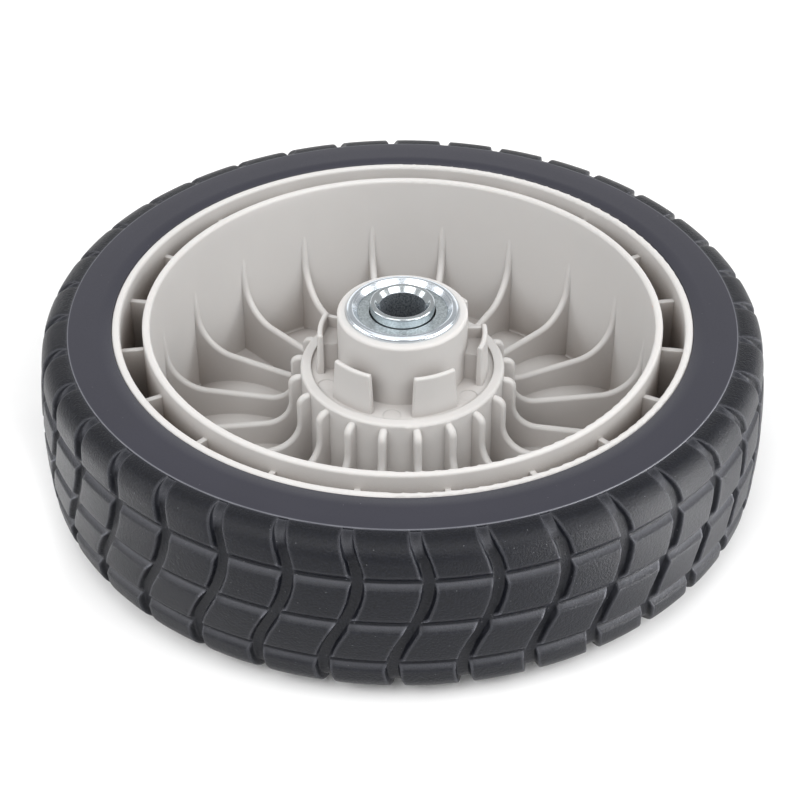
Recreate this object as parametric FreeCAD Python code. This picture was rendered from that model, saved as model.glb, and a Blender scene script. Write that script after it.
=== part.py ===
import FreeCAD, Part
import math
import os

from FreeCAD import Vector

# Lawn mower wheel lying on its back, axle along +Z, back ring of the rim on z = 0.
# All lengths are in millimetres and all angles in degrees.

# Tyre
tyre_diameter = 203.2
tyre_width = 48.0
tyre_fit = 0.05
crown_radius = 150.0
crown_offset = -5.0
shoulder_radius = 6.2
sidewall_radius = 92.3
sidewall_step = 0.3
ring_groove_width = 3.9
ring_groove_floor = 0.9
ring_groove_depth = 1.5
ring_groove_pitch = 13.15
cross_groove_count = 36
cross_groove_width = 4.7
cross_groove_floor = 2.9
cross_groove_depth = 2.8
cross_groove_fade = 0.3
cross_groove_bulge = 1.3
cross_groove_sway = 4.5
cross_groove_front_wave = 28.5
cross_groove_back_wave = 26.2
cross_groove_offset = -2.2
cross_groove_phase = 1.1
lock_key_height = 2.5
lock_key_width = 8.0
lock_key_crest = 5.0

# Rim walls
seat_radius = 80.25
seat_wall = 2.2
channel_width = 6.05
bowl_wall = 2.15
back_step = 3.0
back_wall = 2.2
lip_round = 0.8
web_count = 20
web_thickness = 1.6
web_drop = 5.0
web_phase = 9.0

# Arched panels, hollow spokes between them, and ribs
disc_thickness = 2.2
disc_edge = 1.0
arch_radius = 43.0
arch_ring_radius = 44.5
arch_crest = 9.0
spoke_count = 5
ribs_per_spoke = 4
rib_thickness = 2.2
rib_round = 1.0
rib_phase = 7.73
rib_waist = 16.0
rib_hub_reach = 3.7
rib_hub_drop = 1.15
rib_hub_round = 2.9
rib_hub_fillet = 6.6
rib_tip_drop = 16.0
rib_tip_lean = 2.1
rib_bowl_fillet = 11.0

# Hub
hub_radius = 18.25
hub_back = 3.7
hub_top_round = 1.0
shoulder_bore_radius = 13.6
collar_radius = 28.9
collar_wall = 2.7
collar_ring = 3.0
collar_drop = 18.25
collar_step = 0.9
pocket_roof = 2.2
gusset_count = 6
gusset_thickness = 2.2
gusset_setback = 3.0

# Cap tabs round the hub
tab_count = 6
tab_radius = 24.3
tab_thickness = 2.0
tab_lean = 0.5
tab_height = 12.6
tab_arc = 33.5
tab_draft = 1.8
tab_phase = -7.2
tab_round = 0.6
bridge_height = 8.6
bridge_setback = 5.5
bridge_fin_arc = 3.5
bridge_tabs = ((0, 1), (3, -1))
pin_mark_diameter = 5.0
pin_mark_depth = 0.15
pin_mark_ring = 23.0

# Bearings
axle_diameter = 12.7
bearing_diameter = 31.75
bearing_width = 11.0
bearing_fit = 0.02
bearing_proud = 1.2
ball_diameter = 4.762
ball_count = 7
ball_ring_radius = 11.1
ball_clearance = 0.12
outer_land_radius = 12.9
inner_land_radius = 9.0
lip_height = 0.25
lip_bead = 1.4
lip_crown_radius = 14.0
lip_crown_round = 0.4
lip_mouth_radius = 12.45
shield_depth = 1.3
shield_thickness = 0.6
shield_bite = 0.7
shield_slack = 0.05
shield_gap = 0.35
race_proud = 1.75
race_edge = 0.4
race_mouth_radius = 7.7
cage_inner_radius = 10.4
cage_outer_radius = 11.8
cage_rim = 0.6
cage_clearance = 0.12
spacer_wall = 2.1
spacer_clearance = 0.15

# Levels and radii that follow from the sizes above
top = back_step + tyre_width
middle = back_step + tyre_width / 2.0
tread_radius = tyre_diameter / 2.0
tyre_bore = seat_radius + tyre_fit
channel_outer = seat_radius - seat_wall
bowl_outer = channel_outer - channel_width
bowl_inner = bowl_outer - bowl_wall
collar_top = top - collar_drop
hub_deck = collar_top - collar_step
collar_inner = collar_radius - collar_wall
arch_centre = arch_crest - arch_radius
rib_count = spoke_count * ribs_per_spoke
rib_root = collar_radius - collar_wall / 2.0
rib_end = bowl_inner + bowl_wall / 2.0
front_seat = top + bearing_proud - bearing_width
back_seat = hub_back - bearing_proud + bearing_width
seat_bore = bearing_diameter / 2.0 + bearing_fit
ball_radius = ball_diameter / 2.0
ball_depth = bearing_width / 2.0
groove_radius = ball_radius + ball_clearance
tab_inner = tab_radius - tab_thickness


def axis_point(r, z):
    return Vector(r, 0.0, z)


def outline(corners, point=axis_point):
    """Closed wire through corners (a, b) or (a, b, radius), rounded where a radius is given."""
    plain = [(c[0], c[1], c[2] if len(c) > 2 else 0.0) for c in corners]
    count = len(plain)
    ends = []
    for i in range(count):
        a, b, radius = plain[i]
        if radius == 0.0:
            ends.append((point(a, b), None, point(a, b)))
            continue
        pa, pb, _ = plain[i - 1]
        na, nb, _ = plain[(i + 1) % count]
        before = math.hypot(pa - a, pb - b)
        after = math.hypot(na - a, nb - b)
        ua, ub = (pa - a) / before, (pb - b) / before
        va, vb = (na - a) / after, (nb - b) / after
        half = math.acos(ua * va + ub * vb) / 2.0
        reach = radius / math.tan(half)
        middle_a, middle_b = ua + va, ub + vb
        middle_length = math.hypot(middle_a, middle_b)
        dip = radius / math.sin(half) - radius
        start = point(a + ua * reach, b + ub * reach)
        inside = point(a + middle_a / middle_length * dip, b + middle_b / middle_length * dip)
        finish = point(a + va * reach, b + vb * reach)
        ends.append((start, inside, finish))
    edges = []
    for i in range(count):
        start, inside, finish = ends[i]
        if inside is not None:
            edges.append(Part.Arc(start, inside, finish).toShape())
        following = ends[(i + 1) % count][0]
        if finish.distanceToPoint(following) > 1e-6:
            edges.append(Part.makeLine(finish, following))
    return Part.Wire(edges)


def spin(wire, sweep=360.0):
    """Solid made by turning a profile in the XZ plane about the axle."""
    return Part.Face(wire).revolve(Vector(0, 0, 0), Vector(0, 0, 1), sweep)


def turned(shape, angle):
    copy = shape.copy()
    copy.rotate(Vector(0, 0, 0), Vector(0, 0, 1), angle)
    return copy


def around(shape, count, phase=0.0):
    return [turned(shape, phase + 360.0 * i / count) for i in range(count)]


def sector(r_in, r_out, z_low, z_high, start, end):
    """Block between two radii, two levels and two angles."""
    corners = [(r_in, z_low), (r_out, z_low), (r_out, z_high), (r_in, z_high)]
    return turned(spin(outline(corners), end - start), start)


# Rim

def rim_walls():
    """Tyre seat, channel floor and bowl wall, as one turned section."""
    key_low = middle - lock_key_width / 2.0
    key_high = middle + lock_key_width / 2.0
    crest_low = middle - lock_key_crest / 2.0
    crest_high = middle + lock_key_crest / 2.0
    key_radius = seat_radius + lock_key_height
    floor = back_step + back_wall
    return spin(outline([
        (channel_outer, top, lip_round),
        (seat_radius, top, lip_round),
        (seat_radius, key_high),
        (key_radius, crest_high),
        (key_radius, crest_low),
        (seat_radius, key_low),
        (seat_radius, back_step, lip_round),
        (bowl_outer, back_step),
        (bowl_outer, 0.0, lip_round),
        (bowl_inner - bowl_wall / 2.0, 0.0),
        (bowl_inner - bowl_wall / 2.0, disc_edge),
        (bowl_inner, disc_edge, lip_round),
        (bowl_inner, top, lip_round),
        (bowl_outer, top, lip_round),
        (bowl_outer, floor, lip_round),
        (channel_outer, floor, lip_round),
    ]))


def arch_level(r, radius):
    return arch_centre + math.sqrt(radius ** 2 - (r - arch_ring_radius) ** 2)


def arch_reach(z, radius):
    return arch_ring_radius + math.sqrt(radius ** 2 - (z - arch_centre) ** 2)


def arched_disc():
    """Disc from collar to bowl wall, arched towards the open side."""
    under_radius = arch_radius - disc_thickness
    crest_top = axis_point(arch_ring_radius, arch_crest)
    crest_under = axis_point(arch_ring_radius, arch_crest - disc_thickness)
    inner_top = axis_point(rib_root, arch_level(rib_root, arch_radius))
    inner_under = axis_point(rib_root, arch_level(rib_root, under_radius))
    edge_top = axis_point(arch_reach(disc_edge, arch_radius), disc_edge)
    edge_under = axis_point(arch_reach(0.0, under_radius), 0.0)
    rim_top = axis_point(rib_end, disc_edge)
    rim_under = axis_point(rib_end, 0.0)
    return spin(Part.Wire([
        Part.Arc(inner_top, crest_top, edge_top).toShape(),
        Part.makeLine(edge_top, rim_top),
        Part.makeLine(rim_top, rim_under),
        Part.makeLine(rim_under, edge_under),
        Part.Arc(edge_under, crest_under, inner_under).toShape(),
        Part.makeLine(inner_under, inner_top),
    ]))


def spoke_sector(index, height):
    """Block from collar to bowl wall between the two ribs that are the sides of a spoke."""
    pitch = 360.0 / rib_count
    end = rib_phase + index * ribs_per_spoke * pitch
    return sector(rib_root, rib_end, 0.0, height, end - pitch, end)


def panels():
    """Arched panels, with the flat back wall of a hollow spoke between each two of them."""
    gaps = [spoke_sector(index, arch_crest) for index in range(spoke_count)]
    walls = [spoke_sector(index, disc_thickness) for index in range(spoke_count)]
    return arched_disc().cut(gaps), walls


def hub():
    """Bearing tube, deck and collar, hollowed from the back between tube and collar."""
    roof = hub_deck - pocket_roof
    return spin(outline([
        (seat_bore, hub_back),
        (hub_radius, hub_back, lip_round),
        (hub_radius, roof, lip_round),
        (collar_inner, roof, lip_round),
        (collar_inner, 0.0),
        (collar_radius, 0.0, lip_round),
        (collar_radius, collar_top, lip_round),
        (collar_radius - collar_ring, collar_top),
        (collar_radius - collar_ring, hub_deck),
        (hub_radius, hub_deck),
        (hub_radius, top, hub_top_round),
        (seat_bore, top),
        (seat_bore, front_seat),
        (shoulder_bore_radius, front_seat),
        (shoulder_bore_radius, back_seat),
        (seat_bore, back_seat),
    ]))


def rib_plate(foot):
    """Upright plate: high at the collar, low across the panel, swept up the bowl wall."""
    hub_edge = collar_radius + rib_hub_reach
    hub_top = collar_top - rib_hub_drop
    tip = top - rib_tip_drop
    side = outline([
        (rib_root, hub_top),
        (hub_edge, hub_top, rib_hub_round),
        (hub_edge, rib_waist, rib_hub_fillet),
        (bowl_inner - rib_tip_lean, rib_waist, rib_bowl_fillet),
        (bowl_inner, tip),
        (rib_end, tip),
        (rib_end, foot),
        (rib_root, foot),
    ])
    plate = Part.Face(side).extrude(Vector(0.0, rib_thickness, 0.0))
    plate.translate(Vector(0.0, -rib_thickness / 2.0, 0.0))
    edges = []
    for edge in plate.Edges:
        place = edge.CenterOfMass
        along_side = edge.BoundBox.YLength < 0.01
        if along_side and rib_root + 0.1 < place.x < bowl_inner and place.z > disc_thickness:
            edges.append(edge)
    return plate.makeFillet(rib_round, edges)


def panel_rib():
    """Rib that stands on an arched panel."""
    sole_radius = arch_radius - disc_thickness / 2.0
    foot = disc_edge / 2.0
    sole_end = arch_reach(foot, sole_radius)
    start = axis_point(rib_root, arch_level(rib_root, sole_radius))
    crest = axis_point(arch_ring_radius, arch_centre + sole_radius)
    end = axis_point(sole_end, foot)
    low_end = axis_point(sole_end, -disc_thickness)
    low_start = axis_point(rib_root, -disc_thickness)
    below = Part.Face(Part.Wire([
        Part.Arc(start, crest, end).toShape(),
        Part.makeLine(end, low_end),
        Part.makeLine(low_end, low_start),
        Part.makeLine(low_start, start),
    ])).extrude(Vector(0.0, rib_thickness, 0.0))
    below.translate(Vector(0.0, -rib_thickness / 2.0, 0.0))
    return rib_plate(foot).cut(below)


def ribs():
    """All ribs: those beside a spoke reach down to its back wall."""
    on_panel = panel_rib()
    beside_spoke = rib_plate(0.0)
    made = []
    for index in range(rib_count):
        on_edge = index % ribs_per_spoke in (0, ribs_per_spoke - 1)
        shape = beside_spoke if on_edge else on_panel
        made.append(turned(shape, rib_phase + 360.0 * index / rib_count))
    return made


def channel_web():
    length = channel_width + seat_wall / 2.0 + bowl_wall / 2.0
    height = top - web_drop - back_step - back_wall / 2.0
    return Part.makeBox(
        length,
        web_thickness,
        height,
        Vector(bowl_outer - bowl_wall / 2.0, -web_thickness / 2.0, back_step + back_wall / 2.0),
    )


def gusset():
    """Stiffener in the pocket behind the deck."""
    low = hub_back + gusset_setback
    inner = (hub_radius + seat_bore) / 2.0
    outer = collar_inner + collar_wall / 2.0
    return Part.makeBox(
        outer - inner,
        gusset_thickness,
        hub_deck - pocket_roof / 2.0 - low,
        Vector(inner, -gusset_thickness / 2.0, low),
    )


def arc_wire(r_in, r_out, z, half):
    """Level outline between two radii, reaching half the angle to each side of +X."""
    def at(r, angle):
        a = math.radians(angle)
        return Vector(r * math.cos(a), r * math.sin(a), z)

    return Part.Wire([
        Part.Arc(at(r_out, -half), at(r_out, 0.0), at(r_out, half)).toShape(),
        Part.makeLine(at(r_out, half), at(r_in, half)),
        Part.Arc(at(r_in, half), at(r_in, 0.0), at(r_in, -half)).toShape(),
        Part.makeLine(at(r_in, -half), at(r_out, -half)),
    ])


def tab():
    """Curved tab for a hub cap, thinner and narrower at its rounded top."""
    foot = hub_deck - pocket_roof / 2.0
    crest = hub_deck + tab_height
    solid = Part.makeLoft([
        arc_wire(tab_inner, tab_radius, foot, tab_arc / 2.0),
        arc_wire(tab_inner, tab_radius - tab_lean, crest, tab_arc / 2.0 - tab_draft),
    ], True, True)
    edges = []
    for edge in solid.Edges:
        place = edge.CenterOfMass
        on_top = edge.BoundBox.ZMin > crest - 0.01
        upright = edge.BoundBox.ZLength > tab_height
        outer = math.hypot(place.x, place.y) > tab_radius - tab_thickness / 2.0
        if on_top or (upright and outer):
            edges.append(edge)
    return solid.makeFillet(tab_round, edges)


def bridge(index, side):
    """Block and upright fin that tie one tab to the hub tube, fin at the given end of the tab."""
    centre = tab_phase + index * 360.0 / tab_count
    near = -side * (tab_arc / 2.0 - bridge_setback)
    far = side * (tab_arc / 2.0 - tab_draft)
    fin = far - side * bridge_fin_arc
    inner = (hub_radius + seat_bore) / 2.0
    outer = tab_inner + tab_thickness / 2.0
    foot = hub_deck - pocket_roof / 2.0
    shelf = hub_deck + bridge_height
    crest = hub_deck + tab_height - tab_round
    block = sector(inner, outer, foot, shelf, centre + min(near, far), centre + max(near, far))
    upright = sector(inner, outer, foot, crest, centre + min(fin, far), centre + max(fin, far))
    return [block, upright]


def pin_mark():
    return Part.makeCylinder(
        pin_mark_diameter / 2.0,
        pin_mark_depth * 2.0,
        Vector(pin_mark_ring, 0.0, hub_deck - pin_mark_depth),
    )


def wheel_rim():
    arches, spoke_walls = panels()
    rim = rim_walls().fuse([arches, hub()])
    rim = rim.fuse(spoke_walls)
    rim = rim.fuse(ribs())
    rim = rim.fuse(around(channel_web(), web_count, web_phase))
    rim = rim.fuse(around(gusset(), gusset_count, tab_phase))
    for index, side in bridge_tabs:
        rim = rim.fuse(bridge(index, side))
    rim = rim.fuse(around(tab(), tab_count, tab_phase)).removeSplitter()
    return rim.cut(around(pin_mark(), tab_count, tab_phase + 180.0 / tab_count))


# Tyre

def crown(offset):
    """Radius of the tread at a distance in front of the middle."""
    return tread_radius - crown_radius + math.sqrt(crown_radius ** 2 - (offset - crown_offset) ** 2)


def tyre_body():
    """Solid ring with crowned tread, round shoulders, three ring grooves and the key's groove."""
    key_low = middle - lock_key_width / 2.0
    key_high = middle + lock_key_width / 2.0
    crest_low = middle - lock_key_crest / 2.0
    crest_high = middle + lock_key_crest / 2.0
    key_bore = tyre_bore + lock_key_height
    rise = tyre_width / 2.0 - sidewall_step

    corners = [
        (tyre_bore, top),
        (sidewall_radius, top),
        (sidewall_radius, top - sidewall_step),
        (crown(rise), top - sidewall_step, shoulder_radius),
    ]
    for step in (1, 0, -1):
        offset = step * ring_groove_pitch
        above = offset + ring_groove_width / 2.0
        below = offset - ring_groove_width / 2.0
        floor = crown(offset) - ring_groove_depth
        corners += [
            (crown(above), middle + above),
            (floor, middle + offset + ring_groove_floor / 2.0),
            (floor, middle + offset - ring_groove_floor / 2.0),
            (crown(below), middle + below),
        ]
    corners += [
        (crown(-rise), back_step + sidewall_step, shoulder_radius),
        (sidewall_radius, back_step + sidewall_step),
        (sidewall_radius, back_step),
        (tyre_bore, back_step),
        (tyre_bore, key_low),
        (key_bore, crest_low),
        (key_bore, crest_high),
        (tyre_bore, key_high),
    ]
    return spin(outline(corners))


def groove_core():
    """Body that the cross grooves stop at: follows the crown, rising to nothing at the sidewall."""
    rise = tyre_width / 2.0 - sidewall_step
    bend = rise - shoulder_radius
    half = rise - cross_groove_fade

    def floor(offset):
        return axis_point(crown(offset) - cross_groove_depth, middle + offset)

    def shoulder(side):
        start = floor(side * bend)
        end = axis_point(sidewall_radius, middle + side * half)
        chord = end - start
        outward = Vector(chord.z * side, 0.0, -chord.x * side).normalize()
        return start, (start + end) * 0.5 + outward * cross_groove_bulge, end

    front_start, front_knee, front_end = shoulder(1.0)
    back_start, back_knee, back_end = shoulder(-1.0)
    front_bore = axis_point(seat_radius, middle + half)
    back_bore = axis_point(seat_radius, middle - half)
    return spin(Part.Wire([
        Part.makeLine(front_bore, back_bore),
        Part.makeLine(back_bore, back_end),
        Part.Arc(back_end, back_knee, back_start).toShape(),
        Part.Arc(back_start, floor(crown_offset), front_start).toShape(),
        Part.Arc(front_start, front_knee, front_end).toShape(),
        Part.makeLine(front_end, front_bore),
    ]))


def groove_sway(offset):
    """Sideways place of a cross groove at a distance in front of the middle."""
    along = offset - cross_groove_offset
    wave = cross_groove_front_wave if along > 0.0 else cross_groove_back_wave
    return cross_groove_sway * math.sin(math.pi * along / wave)


def cross_groove():
    """One S-shaped groove across the tread, its walls leaning apart above its floor."""
    reach = tyre_width / 2.0
    steps = 8
    inner = tread_radius - cross_groove_depth
    high = tread_radius + cross_groove_depth
    lean = (cross_groove_width - cross_groove_floor) / 2.0 / cross_groove_depth

    def side(r, sign):
        half = cross_groove_floor / 2.0 + max(r - inner, 0.0) * lean
        points = []
        for i in range(steps + 1):
            offset = -reach + 2.0 * reach * i / steps
            points.append(Vector(r, groove_sway(offset) + sign * half, middle + offset))
        return points

    def loop(r):
        left = side(r, 1.0)
        right = side(r, -1.0)
        curve_left = Part.BSplineCurve()
        curve_left.interpolate(left)
        curve_right = Part.BSplineCurve()
        curve_right.interpolate(right[::-1])
        return Part.Wire([
            curve_left.toShape(),
            Part.makeLine(left[-1], right[-1]),
            curve_right.toShape(),
            Part.makeLine(right[0], left[0]),
        ])

    block = Part.makeLoft([loop(sidewall_radius), loop(inner), loop(high)], True, True)
    return block.cut(groove_core())


def tyre():
    return tyre_body().cut(around(cross_groove(), cross_groove_count, cross_groove_phase))


# Bearings, drawn with their outer end on z = 0 and their inner end below it

def torus():
    """Space that the ball row sweeps."""
    return Part.makeTorus(ball_ring_radius, groove_radius, Vector(0, 0, -ball_depth))


def shield_slots():
    """Levels of the outer faces of the outer and the inner shield."""
    return (-shield_depth, -(bearing_width - shield_depth - shield_thickness))


def outer_race():
    """Pressed cup with its front edge rolled into a bead over the shield."""
    r = bearing_diameter / 2.0
    body = spin(outline([
        (r, -bearing_width, race_edge),
        (r, lip_height, lip_bead),
        (lip_crown_radius, lip_height, lip_crown_round),
        (lip_mouth_radius, -shield_depth),
        (lip_mouth_radius, -bearing_width),
    ]))
    cuts = [torus()]
    land = bearing_width - 2.0 * shield_depth
    cuts.append(Part.makeCylinder(outer_land_radius, land, Vector(0, 0, -bearing_width + shield_depth)))
    for level in shield_slots():
        height = shield_thickness + 2.0 * shield_slack
        seat = lip_mouth_radius + shield_bite + shield_slack
        cuts.append(Part.makeCylinder(seat, height, Vector(0, 0, level - shield_thickness - shield_slack)))
    return body.cut(cuts)


def inner_race():
    bore = axle_diameter / 2.0
    mouth = race_mouth_radius - bore
    body = spin(outline([
        (bore, -bearing_width),
        (inner_land_radius, -bearing_width, race_edge),
        (inner_land_radius, race_proud, race_edge),
        (race_mouth_radius, race_proud),
        (bore, race_proud - mouth),
    ]))
    return body.cut(torus())


def shield(level):
    inner = inner_land_radius + shield_gap
    outer = lip_mouth_radius + shield_bite
    return spin(outline([
        (inner, level - shield_thickness),
        (outer, level - shield_thickness),
        (outer, level),
        (inner, level),
    ]))


def ball(index):
    sphere = Part.makeSphere(ball_radius, Vector(ball_ring_radius, 0.0, -ball_depth))
    return turned(sphere, 360.0 * index / ball_count)


def cage():
    """Ring with one round pocket for each ball."""
    half = ball_radius + cage_clearance + cage_rim
    ring = spin(outline([
        (cage_inner_radius, -ball_depth - half),
        (cage_outer_radius, -ball_depth - half),
        (cage_outer_radius, -ball_depth + half),
        (cage_inner_radius, -ball_depth + half),
    ]))
    pocket = Part.makeCylinder(
        ball_radius + cage_clearance,
        outer_land_radius,
        Vector(0.0, 0.0, -ball_depth),
        Vector(1.0, 0.0, 0.0),
    )
    return ring.cut(around(pocket, ball_count))


def seated(shape, front):
    """Bearing piece put into the front or the back end of the hub."""
    copy = shape.copy()
    if not front:
        copy.rotate(Vector(0, 0, 0), Vector(1, 0, 0), 180.0)
    copy.translate(Vector(0.0, 0.0, top + bearing_proud if front else hub_back - bearing_proud))
    return copy


def spacer():
    """Sleeve that keeps the two inner races apart."""
    bore = axle_diameter / 2.0 + spacer_clearance
    return spin(outline([
        (bore, back_seat),
        (bore + spacer_wall, back_seat),
        (bore + spacer_wall, front_seat),
        (bore, front_seat),
    ]))


def bearing(name, front):
    outer_level, inner_level = shield_slots()
    pieces = {
        name + "_outer_race": outer_race(),
        name + "_inner_race": inner_race(),
        name + "_outer_shield": shield(outer_level),
        name + "_inner_shield": shield(inner_level),
        name + "_ball_cage": cage(),
    }
    for index in range(ball_count):
        pieces[name + "_ball_" + str(index + 1)] = ball(index)
    return {node: seated(shape, front) for node, shape in pieces.items()}


nodes = {
    "wheel_rim": wheel_rim(),
    "tyre": tyre(),
    "bearing_spacer": spacer(),
}
nodes.update(bearing("front_bearing", True))
nodes.update(bearing("back_bearing", False))

os.makedirs("parts", exist_ok=True)
for node, shape in nodes.items():
    shape.exportStep("parts/" + node + ".step")
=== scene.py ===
import bpy
import math
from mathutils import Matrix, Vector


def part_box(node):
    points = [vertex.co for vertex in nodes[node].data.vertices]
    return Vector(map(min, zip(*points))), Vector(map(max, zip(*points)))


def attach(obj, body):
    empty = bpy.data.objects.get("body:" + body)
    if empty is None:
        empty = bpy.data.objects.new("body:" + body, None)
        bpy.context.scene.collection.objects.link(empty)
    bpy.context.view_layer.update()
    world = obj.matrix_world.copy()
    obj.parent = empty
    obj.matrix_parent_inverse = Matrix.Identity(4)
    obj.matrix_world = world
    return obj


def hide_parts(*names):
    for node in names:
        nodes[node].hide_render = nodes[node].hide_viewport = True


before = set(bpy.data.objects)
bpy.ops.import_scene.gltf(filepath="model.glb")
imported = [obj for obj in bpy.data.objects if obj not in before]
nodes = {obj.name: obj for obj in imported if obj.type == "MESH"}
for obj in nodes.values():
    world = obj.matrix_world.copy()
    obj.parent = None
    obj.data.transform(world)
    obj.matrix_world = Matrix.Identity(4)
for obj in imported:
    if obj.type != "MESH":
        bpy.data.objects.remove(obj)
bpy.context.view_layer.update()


# Sizes of the tyre, in mm, with levels measured from the middle of its width

mm = 0.001
to_mm = 1000.0
tyre_low, tyre_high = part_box("tyre")
tread_radius = tyre_high.x * to_mm
half_width = (tyre_high.z - tyre_low.z) * to_mm / 2.0
middle_level = (tyre_high.z + tyre_low.z) * to_mm / 2.0

seat_radius = 80.3
seat_chamfer = 0.3
key_height = 2.5
key_half_top = 2.5
key_half_foot = 4.0
wall_radius = 92.3
wall_step = 0.3
wall_band = 0.35
wall_round = 0.05
shoulder_radius = 6.2
shoulder_steps = 12
shoulder_level = half_width - wall_step
bend_level = shoulder_level - shoulder_radius
tread_end = 16.2
crown_radius = 150.0
crown_level = -5.0

cross_count = 36
cross_turn = math.radians(1.1)
cross_pitch = 2.0 * math.pi * tread_radius / cross_count
cross_floor = 2.9
cross_lean = 0.32
cross_depth = 1.8
cross_bulge = 1.5
cross_blur = 0.35
least_depth = 0.02
sway_level = -2.2
sway_reach = 4.5
sway_front = 28.5
sway_back = 26.2

ring_pitch = 13.15
ring_levels = (ring_pitch, 0.0, -ring_pitch)
ring_half = 1.95
ring_floor = 0.45
ring_depth = 1.65
ring_blur = 0.3

# Stepped edge of the sidewall: distance out from wall_radius, and share of the step
wall_edge = ((-wall_band, 0.0), (-wall_round, 0.1), (0.02, 0.8), (0.2, 1.0), (0.6, 1.0))

# Places of mesh rows and columns that need no size of their own
flat_rows = (4.0, 8.0)
ring_rows = (2.6, 2.2, 2.0, 1.8, 1.5, 1.1, 0.7, 0.5, 0.3)
block_rows = (2.4, 0.0, -2.4)
floor_and_wall_columns = ((0.0, 0.0), (0.55, 0.0), (0.92, 0.0), (1.0, 0.15), (1.0, 0.5), (1.0, 0.85))
edge_columns = (0.12, 0.4)
block_columns = (0.25, 0.6)

# Other radii where a finish changes, in mm
bowl_end = 66.0
channel_start = 70.0
axle_bore_radius = 6.45

# Angles, in degrees, past which an edge is shaded sharp
cad_sharp_angle = 28.0
tyre_sharp_angle = 50.0


# Materials

class Finish:
    """Node material with short calls for the nodes that the finishes share."""

    def __init__(self, name):
        self.material = bpy.data.materials.new(name)
        self.material.use_nodes = True
        self.tree = self.material.node_tree
        self.shader = self.tree.nodes["Principled BSDF"]
        coordinates = self.node("ShaderNodeTexCoord").outputs
        self.place = coordinates["Object"]
        self.normal = coordinates["Normal"]

    def node(self, kind, settings=None, **inputs):
        made = self.tree.nodes.new(kind)
        for key, value in (settings or {}).items():
            setattr(made, key, value)
        for key, value in inputs.items():
            self.feed(made.inputs[key], value)
        return made

    def feed(self, socket, value):
        """Value set on a socket, or linked to it where it comes from a node."""
        if isinstance(value, bpy.types.NodeSocket):
            self.tree.links.new(value, socket)
        else:
            socket.default_value = value

    def set(self, name, value):
        self.feed(self.shader.inputs[name], value)

    def noise(self, scale, detail, roughness=0.55):
        made = self.node("ShaderNodeTexNoise", Vector=self.place, Scale=scale, Detail=detail,
                         Roughness=roughness)
        return made.outputs["Fac"]

    def turning_marks(self, scale, detail):
        """Fine rings round the axle."""
        made = self.node("ShaderNodeTexNoise", {"noise_dimensions": "1D"}, W=self.radius(), Scale=scale,
                         Detail=detail)
        return made.outputs["Fac"]

    def math(self, operation, a, b=0.0):
        made = self.node("ShaderNodeMath", {"operation": operation})
        self.feed(made.inputs[0], a)
        self.feed(made.inputs[1], b)
        return made.outputs[0]

    def span(self, value, low, high, to_low=0.0, to_high=1.0):
        """Value moved from one range to another and held inside it."""
        made = self.node("ShaderNodeMapRange")
        for index, number in enumerate((value, low, high, to_low, to_high)):
            self.feed(made.inputs[index], number)
        return made.outputs["Result"]

    def blend(self, factor, first, second):
        """Colour between two colours, the first one at factor 0."""
        made = self.node("ShaderNodeMix", {"data_type": "RGBA"})
        self.feed(made.inputs["Factor"], factor)
        for name, colour in (("A", first), ("B", second)):
            socket = [s for s in made.inputs if s.name == name and s.type == "RGBA"][0]
            self.feed(socket, colour)
        return [s for s in made.outputs if s.type == "RGBA"][0]

    def radius(self):
        """Distance from the axle, in metres."""
        parts = self.node("ShaderNodeSeparateXYZ", Vector=self.place).outputs
        squares = self.math("ADD", self.math("MULTIPLY", parts[0], parts[0]),
                            self.math("MULTIPLY", parts[1], parts[1]))
        return self.math("SQRT", squares)

    def facing(self):
        """How far the surface faces the wheel's front: 1 flat in front, 0 on the tread."""
        return self.node("ShaderNodeSeparateXYZ", Vector=self.normal).outputs[2]

    def specks(self, scale, size):
        """Small round dots, one in some of the cells of a given scale."""
        cells = self.node("ShaderNodeTexVoronoi", Vector=self.place, Scale=scale)
        dot = self.math("LESS_THAN", cells.outputs["Distance"], size)
        pick = self.node("ShaderNodeSeparateColor", Color=cells.outputs["Color"]).outputs[0]
        empty_share = 0.6
        return self.math("MULTIPLY", dot, self.math("GREATER_THAN", pick, empty_share))

    def crevices(self, reach):
        """How open the surface is: 0 deep between walls, 1 in the open."""
        return self.node("ShaderNodeAmbientOcclusion", {"samples": 4}, Distance=reach).outputs["AO"]

    def corners(self, reach):
        """How near the surface is to an outer edge: 1 on the edge, 0 away from it."""
        inside = self.node("ShaderNodeAmbientOcclusion", {"samples": 5, "inside": True}, Distance=reach)
        return self.span(inside.outputs["AO"], 0.5, 0.86, 1.0, 0.0)

    def relief(self, height, strength, distance, normal=None):
        """Normal of a fine relief, on top of another normal if there is one."""
        made = self.node("ShaderNodeBump", Height=height, Strength=strength, Distance=distance)
        if normal is not None:
            self.feed(made.inputs["Normal"], normal)
        return made.outputs["Normal"]

    def soft_edges(self, radius):
        """Normal that rounds the edges in the light."""
        return self.node("ShaderNodeBevel", {"samples": 4}, Radius=radius).outputs["Normal"]


def linear(red, green, blue):
    """Colour given as on screen, 0 to 255, as the shader takes it."""
    values = []
    for number in (red, green, blue):
        part = number / 255.0
        values.append(part / 12.92 if part <= 0.04045 else ((part + 0.055) / 1.055) ** 2.4)
    return (values[0], values[1], values[2], 1.0)


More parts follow.
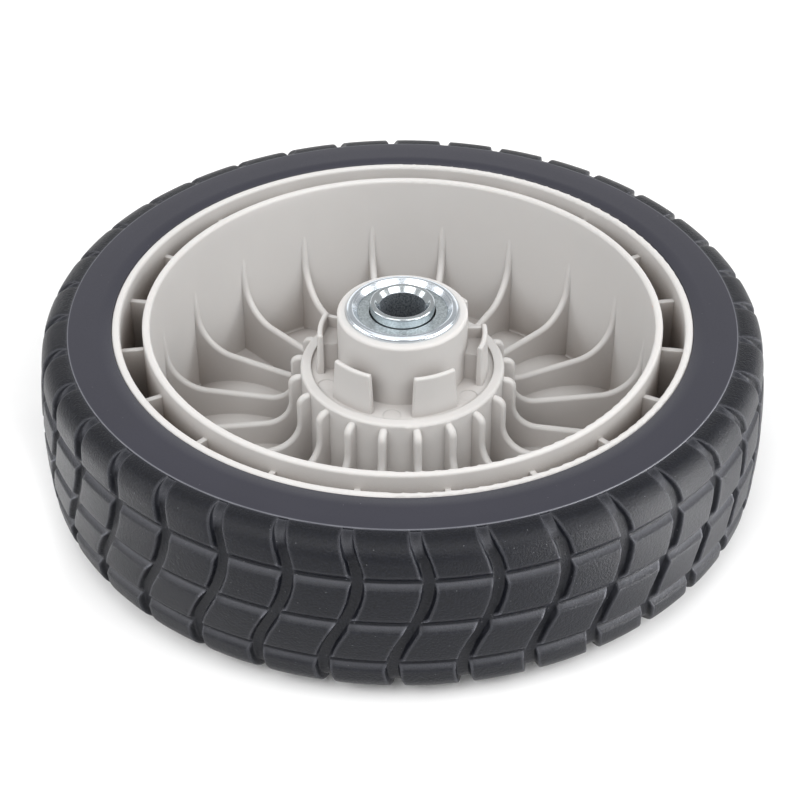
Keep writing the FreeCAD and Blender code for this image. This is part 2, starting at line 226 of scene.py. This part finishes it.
def rim_plastic():
    """Light warm grey moulded plastic with faint flow clouds and a fine satin skin, with painted shade in
    its depths: greyer in the bowl, brown deep in the channel.
    """
    finish = Finish("rim_plastic")
    clouds = finish.noise(38.0, 3.0)
    grain = finish.noise(2600.0, 2.0)
    plain = finish.blend(clouds, linear(197, 195, 193), linear(203, 201, 199))
    # Painted shade: the colour darkens where the surface is closed in, to grey in the bowl and to brown deep
    # in the channel.
    openness = finish.crevices(0.024)
    bowl_painted_shade = finish.blend(finish.span(openness, 0.0, 0.75), linear(172, 166, 162), plain)
    channel_painted_shade = finish.blend(finish.span(openness, 0.05, 0.3), linear(152, 141, 133), plain)
    outside = finish.span(finish.radius(), bowl_end * mm, channel_start * mm)
    finish.set("Base Color", finish.blend(outside, bowl_painted_shade, channel_painted_shade))
    finish.set("Roughness", finish.span(clouds, 0.3, 0.7, 0.44, 0.52))
    finish.set("Specular IOR Level", 0.32)
    finish.set("Subsurface Weight", 0.12)
    finish.set("Subsurface Radius", (0.0016, 0.0013, 0.0011))
    finish.set("Subsurface Scale", 1.0)
    finish.set("Normal", finish.relief(grain, 0.06, 0.0001, finish.soft_edges(0.0006)))
    return finish.material


def tread_rubber():
    """Black grained rubber of the tread blocks, with a little dust, painted shade deep in the grooves,
    painted light on the groove walls that face up and painted highlights along the edges.
    """
    finish = Finish("tread_rubber")
    clouds = finish.noise(45.0, 3.0)
    grain = finish.noise(1700.0, 3.0, 0.65)
    faces = finish.blend(finish.span(grain, 0.3, 0.7), linear(5, 6, 11), linear(19, 21, 29))
    # Painted shade: the rubber darkens deep in the grooves.
    openness = finish.crevices(0.003)
    plain = finish.blend(finish.span(openness, 0.06, 0.4), linear(9, 9, 12), faces)
    # Painted light: groove walls that face up, where light from above falls, are made paler.
    ledges_painted_light = finish.math("MULTIPLY", finish.span(finish.facing(), 0.4, 0.7),
                         finish.span(openness, 0.6, 0.9, 1.0, 0.0))
    plain = finish.blend(ledges_painted_light, plain, linear(92, 93, 99))
    # Painted highlight: a pale line along the outer edges of the blocks.
    plain = finish.blend(finish.corners(0.0009), plain, linear(112, 113, 120))
    dust = finish.specks(600.0, 0.055)
    finish.set("Base Color", finish.blend(dust, plain, linear(120, 121, 125)))
    finish.set("Roughness", finish.span(clouds, 0.3, 0.7, 0.34, 0.42))
    finish.set("Specular IOR Level", 0.24)
    finish.set("Normal", finish.relief(grain, 1.0, 0.0002))
    return finish.material


def sidewall_rubber():
    """Smooth moulded sidewall, faintly bluish, with fine turning marks and a painted highlight along its
    stepped outer edge.
    """
    finish = Finish("sidewall_rubber")
    clouds = finish.noise(30.0, 4.0)
    grain = finish.noise(2200.0, 3.0, 0.6)
    marks = finish.turning_marks(2600.0, 2.0)
    plain = finish.blend(clouds, linear(34, 34, 44), linear(42, 42, 53))
    # Painted highlight: a pale band along the sidewall's stepped outer edge.
    edge = finish.span(finish.radius(), (wall_radius - wall_band) * mm, (wall_radius - wall_round) * mm)
    plain = finish.blend(edge, plain, linear(104, 105, 112))
    dust = finish.specks(420.0, 0.04)
    finish.set("Base Color", finish.blend(dust, plain, linear(110, 110, 116)))
    finish.set("Roughness", finish.span(grain, 0.3, 0.7, 0.44, 0.52))
    finish.set("Specular IOR Level", 0.5)
    finish.set("Normal", finish.relief(marks, 0.05, 0.00005, finish.relief(grain, 0.06, 0.0001)))
    return finish.material


def bright_steel(name, tone, low, high):
    """Bright plated steel with faint turning marks and fine specks, between two roughnesses."""
    finish = Finish(name)
    marks = finish.turning_marks(5200.0, 3.0)
    spots = finish.noise(2400.0, 3.0, 0.6)
    dimming = 0.86
    shade = tuple(dimming * part for part in tone[:3]) + (1.0,)
    finish.set("Base Color", finish.blend(spots, shade, tone))
    finish.set("Metallic", 1.0)
    finish.set("Roughness", finish.span(marks, 0.3, 0.7, low, high))
    finish.set("Normal", finish.relief(spots, 0.08, 0.00005, finish.soft_edges(0.00025)))
    return finish.material


def race_steel():
    """Bright plated race, dull and grained inside the axle bore."""
    finish = Finish("race_steel")
    inside = finish.math("LESS_THAN", finish.radius(), axle_bore_radius * mm)
    spots = finish.noise(2600.0, 4.0, 0.7)
    bright = finish.blend(spots, linear(188, 195, 198), linear(212, 218, 221))
    dull = finish.blend(finish.span(spots, 0.4, 0.6), linear(110, 116, 122), linear(190, 196, 202))
    finish.set("Base Color", finish.blend(inside, bright, dull))
    finish.set("Metallic", 1.0)
    finish.set("Roughness", finish.span(inside, 0.0, 1.0, 0.16, 0.55))
    finish.set("Normal", finish.relief(spots, 0.06, 0.00005, finish.soft_edges(0.00025)))
    return finish.material


def shield_steel():
    """Sheet steel with a speckled zinc skin."""
    finish = Finish("shield_steel")
    spots = finish.noise(1900.0, 4.0, 0.65)
    finish.set("Base Color", finish.blend(finish.span(spots, 0.35, 0.65),
                                          linear(146, 154, 157), linear(200, 207, 210)))
    finish.set("Metallic", 1.0)
    finish.set("Roughness", finish.span(spots, 0.3, 0.7, 0.42, 0.6))
    finish.set("Normal", finish.relief(spots, 0.25, 0.0001))
    return finish.material


def floor_paper():
    """White backdrop paper."""
    finish = Finish("floor_paper")
    fibres = finish.noise(60.0, 3.0)
    finish.set("Base Color", finish.blend(fibres, linear(243, 243, 243), linear(247, 247, 247)))
    finish.set("Roughness", 0.9)
    return finish.material


# Tyre

def rounded_turn(start, corner, end, radius, steps):
    """Points of the arc that rounds a corner between two straight stretches."""
    ways = []
    for other in (start, end):
        length = math.hypot(other[0] - corner[0], other[1] - corner[1])
        ways.append(((other[0] - corner[0]) / length, (other[1] - corner[1]) / length))
    half = math.acos(ways[0][0] * ways[1][0] + ways[0][1] * ways[1][1]) / 2.0
    middle = (ways[0][0] + ways[1][0], ways[0][1] + ways[1][1])
    scale = radius / math.sin(half) / math.hypot(*middle)
    centre = (corner[0] + middle[0] * scale, corner[1] + middle[1] * scale)
    reach = radius / math.tan(half)
    angles = [math.atan2(corner[1] + way[1] * reach - centre[1], corner[0] + way[0] * reach - centre[0])
              for way in ways]
    points = []
    for step in range(steps + 1):
        angle = angles[0] + (angles[1] - angles[0]) * step / steps
        points.append((centre[0] + radius * math.cos(angle), centre[1] + radius * math.sin(angle)))
    return points


def circle(first, second, third):
    """Centre and radius of the circle through three points."""
    (ax, ay), (bx, by), (cx, cy) = first, second, third
    d = 2.0 * (ax * (by - cy) + bx * (cy - ay) + cx * (ay - by))
    a, b, c = ax * ax + ay * ay, bx * bx + by * by, cx * cx + cy * cy
    x = (a * (by - cy) + b * (cy - ay) + c * (ay - by)) / d
    y = (a * (cx - bx) + b * (ax - cx) + c * (bx - ax)) / d
    return (x, y), math.hypot(ax - x, ay - y)


def soft_limit(value, low, high, blur):
    """Value held between low and high, with both bends rounded."""
    value = high - 0.5 * (high - value + math.sqrt((high - value) ** 2 + blur ** 2))
    return low + 0.5 * (value - low + math.sqrt((value - low) ** 2 + blur ** 2))


def crown(z):
    """Radius of the uncut tread at a level."""
    return tread_radius - crown_radius + math.sqrt(crown_radius ** 2 - (z - crown_level) ** 2)


def sway(z):
    """How far the S-shaped cross grooves lie to the side at a level."""
    along = z - sway_level
    return sway_reach * math.sin(math.pi * along / (sway_front if along > 0.0 else sway_back))


def shoulder_floor(side):
    """Circle that the floor of the cross grooves follows over one shoulder."""
    start = (crown(side * bend_level) - cross_depth, side * bend_level)
    end = (wall_radius, side * (shoulder_level - wall_step))
    chord = (end[0] - start[0], end[1] - start[1])
    reach = cross_bulge / math.hypot(*chord)
    knee = ((start[0] + end[0]) / 2.0 + chord[1] * side * reach,
            (start[1] + end[1]) / 2.0 - chord[0] * side * reach)
    return circle(start, knee, end)


shoulder_floors = {side: shoulder_floor(side) for side in (1.0, -1.0)}


def cross_cut(r, z, nr, nz):
    """How far the cross grooves go in below a point of the section with a given normal."""
    if abs(z) <= bend_level:
        return cross_depth
    centre, arc_radius = shoulder_floors[math.copysign(1.0, z)]
    dr, dz = r - centre[0], z - centre[1]
    along = dr * nr + dz * nz
    rest = along * along - dr * dr - dz * dz + arc_radius * arc_radius
    return min(max(along - math.sqrt(max(rest, 0.0)), least_depth), cross_depth)


def ring_cut(z):
    """How far the ring grooves go in at a level."""
    if abs(z) >= bend_level:
        return 0.0
    deepest = 0.0
    for centre in ring_levels:
        edge = (ring_half - abs(z - centre)) * ring_depth / (ring_half - ring_floor)
        deepest = max(deepest, soft_limit(edge, 0.0, ring_depth, ring_blur))
    return deepest


def front_flat():
    """Section points from the seat over the flat sidewall and down its stepped edge."""
    points = [(seat_radius, half_width - seat_chamfer), (seat_radius + seat_chamfer, half_width)]
    points += [(seat_radius + row, half_width) for row in flat_rows]
    return points + [(wall_radius + out, half_width - wall_step * share) for out, share in wall_edge]


def tread_levels():
    """Levels of the section's rows across the tread, close together at the ring grooves."""
    levels = [tread_end]
    for centre in ring_levels:
        levels += [centre + row for row in ring_rows]
        levels.append(centre)
        levels += [centre - row for row in reversed(ring_rows)]
        if centre > ring_levels[-1]:
            levels += [centre - ring_pitch / 2.0 + row for row in block_rows]
    levels.append(-tread_end)
    return levels


def shoulder_turn(side, flat_end):
    """Rounded shoulder from the tread to the end of the front or back flat."""
    start = (crown(side * tread_end), side * tread_end)
    corner = (crown(side * shoulder_level), side * shoulder_level)
    end = (flat_end[0], side * flat_end[1])
    return rounded_turn(start, corner, end, shoulder_radius, shoulder_steps)


def tyre_section(front):
    """Section points from the front inner edge over the tread to the back inner edge."""
    section = front + shoulder_turn(1.0, front[-1])[::-1] + [(crown(z), z) for z in tread_levels()]
    return section + shoulder_turn(-1.0, front[-1]) + [(r, -z) for r, z in reversed(front)]


def normal_at(section, index):
    """Outward normal of the section at one of its points."""
    before = section[max(index - 1, 0)]
    after = section[min(index + 1, len(section) - 1)]
    nr, nz = before[1] - after[1], after[0] - before[0]
    length = math.hypot(nr, nz)
    return nr / length, nz / length


def pitch_columns(depth):
    """Distances of one pitch's columns from the middle of its cross groove."""
    floor_half = cross_floor / 2.0
    wall = cross_lean * depth
    top = floor_half + wall
    places = [floor_half * along_floor + wall * up_wall for along_floor, up_wall in floor_and_wall_columns]
    places += [top + edge for edge in edge_columns]
    block_start = top + edge_columns[-1]
    places += [block_start + share * (cross_pitch / 2.0 - block_start) for share in block_columns]
    return [-cross_pitch / 2.0] + [-place for place in reversed(places[1:])] + places


def point_on_tyre(r, z, angle):
    return (r * math.cos(angle) * mm, r * math.sin(angle) * mm, (middle_level + z) * mm)


def tread_row(section, index, grooved):
    """Vertices of one row round the tyre, sunk into the grooves."""
    r, z = section[index]
    nr, nz = normal_at(section, index)
    depth = cross_cut(r, z, nr, nz) if grooved else least_depth
    ring = ring_cut(z)
    columns = pitch_columns(depth)
    vertices = []
    for tooth in range(cross_count):
        for offset in columns:
            sink = ring
            if grooved:
                edge = cross_floor / 2.0 + cross_lean * depth - abs(offset)
                cross = soft_limit(edge / cross_lean, 0.0, depth, min(cross_blur, depth))
                sink = max(ring, cross)
            angle = cross_turn + (tooth * cross_pitch + sway(z) + offset) / tread_radius
            vertices.append(point_on_tyre(r - nr * sink, z - nz * sink, angle))
    return vertices


def key_rows(across):
    """Vertices of the keyed seat, which close the section on the inside."""
    top_radius = seat_radius + key_height
    key = ((seat_radius, -key_half_foot), (top_radius, -key_half_top),
           (top_radius, key_half_top), (seat_radius, key_half_foot))
    vertices = []
    for r, z in key:
        vertices += [point_on_tyre(r, z, 2.0 * math.pi * column / across) for column in range(across)]
    return vertices


def grid_faces(rows, across):
    """Faces of a grid that closes on itself both ways."""
    faces = []
    for row in range(rows):
        following = (row + 1) % rows
        for column in range(across):
            beside = (column + 1) % across
            faces.append((row * across + column, following * across + column,
                          following * across + beside, row * across + beside))
    return faces


def tyre_mesh():
    """Tyre as one grid whose columns follow the cross grooves and whose rows follow the section."""
    front = front_flat()
    section = tyre_section(front)
    total = len(section)
    # The cross grooves start at the foot of the step
    first_grooved = len(front) - 2
    vertices = []
    for index in range(total):
        vertices += tread_row(section, index, first_grooved <= index < total - first_grooved)
    across = len(vertices) // total
    vertices += key_rows(across)
    mesh = bpy.data.meshes.new("tyre_tread")
    mesh.from_pydata(vertices, [], grid_faces(len(vertices) // across, across))
    mesh.validate()
    # The sidewall's material reaches down to the foot of the step and covers the seat
    wall_rows = len(front) - 3
    for face in mesh.polygons:
        row = face.index // across
        if row < wall_rows or row >= total - wall_rows - 1:
            face.material_index = 1
    mesh.shade_smooth()
    mesh.set_sharp_from_angle(angle=math.radians(tyre_sharp_angle))
    return mesh


tyre = bpy.data.objects.new("tyre_tread", tyre_mesh())
bpy.context.scene.collection.objects.link(tyre)
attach(tyre, "wheel")
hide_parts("tyre")


# Finishes on the pieces

plastic = rim_plastic()
tread = tread_rubber()
sidewall = sidewall_rubber()
races = race_steel()
lips = bright_steel("lip_steel", linear(224, 231, 238), 0.16, 0.28)
shields = shield_steel()
cages = bright_steel("cage_steel", linear(186, 184, 178), 0.3, 0.45)
balls = bright_steel("ball_steel", linear(232, 233, 235), 0.04, 0.08)


def finish_of(name):
    """Finish of a CAD node, by its name."""
    if name == "wheel_rim":
        return plastic
    if name == "tyre":
        return tread
    if "ball_cage" in name or "spacer" in name:
        return cages
    if "ball" in name:
        return balls
    if "shield" in name:
        return shields
    if "inner_race" in name:
        return races
    return lips


def dress(thing, *materials):
    """Materials put on a piece. Where there are more than one, each face keeps its slot."""
    places = [face.material_index for face in thing.data.polygons]
    thing.data.materials.clear()
    for material in materials:
        thing.data.materials.append(material)
    if len(materials) > 1:
        thing.data.polygons.foreach_set("material_index", places)


for name, thing in nodes.items():
    dress(thing, finish_of(name))
    thing.data.shade_smooth()
    thing.data.set_sharp_from_angle(angle=math.radians(cad_sharp_angle))
dress(tyre, tread, sidewall)


# Floor, light and camera, in metres

floor_reach = 4.0
floor_corners = [(x * floor_reach, y * floor_reach, 0.0) for x, y in ((-1, -1), (1, -1), (1, 1), (-1, 1))]
floor_mesh = bpy.data.meshes.new("floor")
floor_mesh.from_pydata(floor_corners, [], [(0, 1, 2, 3)])
floor = bpy.data.objects.new("floor", floor_mesh)
bpy.context.scene.collection.objects.link(floor)
dress(floor, floor_paper())


def aim(lamp, name, place, target):
    """Light set at a place and turned to a target."""
    holder = bpy.data.objects.new(name, lamp)
    bpy.context.scene.collection.objects.link(holder)
    holder.location = place
    way = [target[i] - place[i] for i in range(3)]
    flat = math.hypot(way[0], way[1])
    holder.rotation_euler = (math.atan2(flat, -way[2]), 0.0, math.atan2(-way[0], way[1]))


def softbox(name, place, target, width, height, power):
    """Soft rectangular light."""
    lamp = bpy.data.lights.new(name, "AREA")
    lamp.shape = "RECTANGLE"
    lamp.size = width
    lamp.size_y = height
    lamp.energy = power
    aim(lamp, name, place, target)


def floor_spot(name, place, target, spread, power):
    """Spotlight on the floor beside the wheel, whose bounce lights the tyre's side."""
    lamp = bpy.data.lights.new(name, "SPOT")
    lamp.spot_size = math.radians(spread)
    lamp.spot_blend = 0.6
    lamp.shadow_soft_size = 0.02
    lamp.energy = power
    aim(lamp, name, place, target)


light_target = (0.0, 0.0, 0.03)
higher_target = (0.0, 0.0, 0.04)
softbox("top", (-0.1, 0.0, 1.05), light_target, 1.0, 1.0, 2.8)
softbox("front_left", (-0.5, -0.7, 0.9), light_target, 0.8, 0.5, 6.0)
softbox("front_right", (0.55, -0.65, 0.88), light_target, 0.8, 0.5, 5.8)
softbox("side_right", (0.95, -0.05, 0.5), light_target, 0.6, 0.4, 4.4)
softbox("side_left", (-0.95, -0.05, 0.5), light_target, 0.6, 0.4, 2.6)
softbox("low_right", (0.8, -0.24, 0.04), higher_target, 0.9, 0.07, 6.5)
softbox("low_left", (-0.8, -0.16, 0.04), higher_target, 0.8, 0.07, 1.6)
softbox("back", (0.0, 1.1, 0.3), higher_target, 1.8, 0.5, 3.0)
floor_spot("floor_right", (0.34, -0.2, 0.62), (0.165, -0.105, 0.0), 13.0, 76.0)
floor_spot("floor_left", (-0.34, -0.15, 0.62), (-0.18, -0.05, 0.0), 13.0, 32.0)

world = bpy.data.worlds.new("studio")
world.use_nodes = True
background = world.node_tree.nodes["Background"]
background.inputs["Color"].default_value = (1.0, 1.0, 1.0, 1.0)
background.inputs["Strength"].default_value = 0.5
bpy.context.scene.world = world
bpy.context.scene.view_settings.view_transform = "Standard"

# Camera as solved from the photo's ellipses
lens = bpy.data.cameras.new("camera")
lens.lens = 86.45
lens.sensor_width = 36.0
camera = bpy.data.objects.new("camera", lens)
bpy.context.scene.collection.objects.link(camera)
camera.location = (-0.00069, -0.4392, 0.3547)
camera.rotation_euler = (math.radians(52.66), 0.0, 0.0)
bpy.context.scene.camera = camera
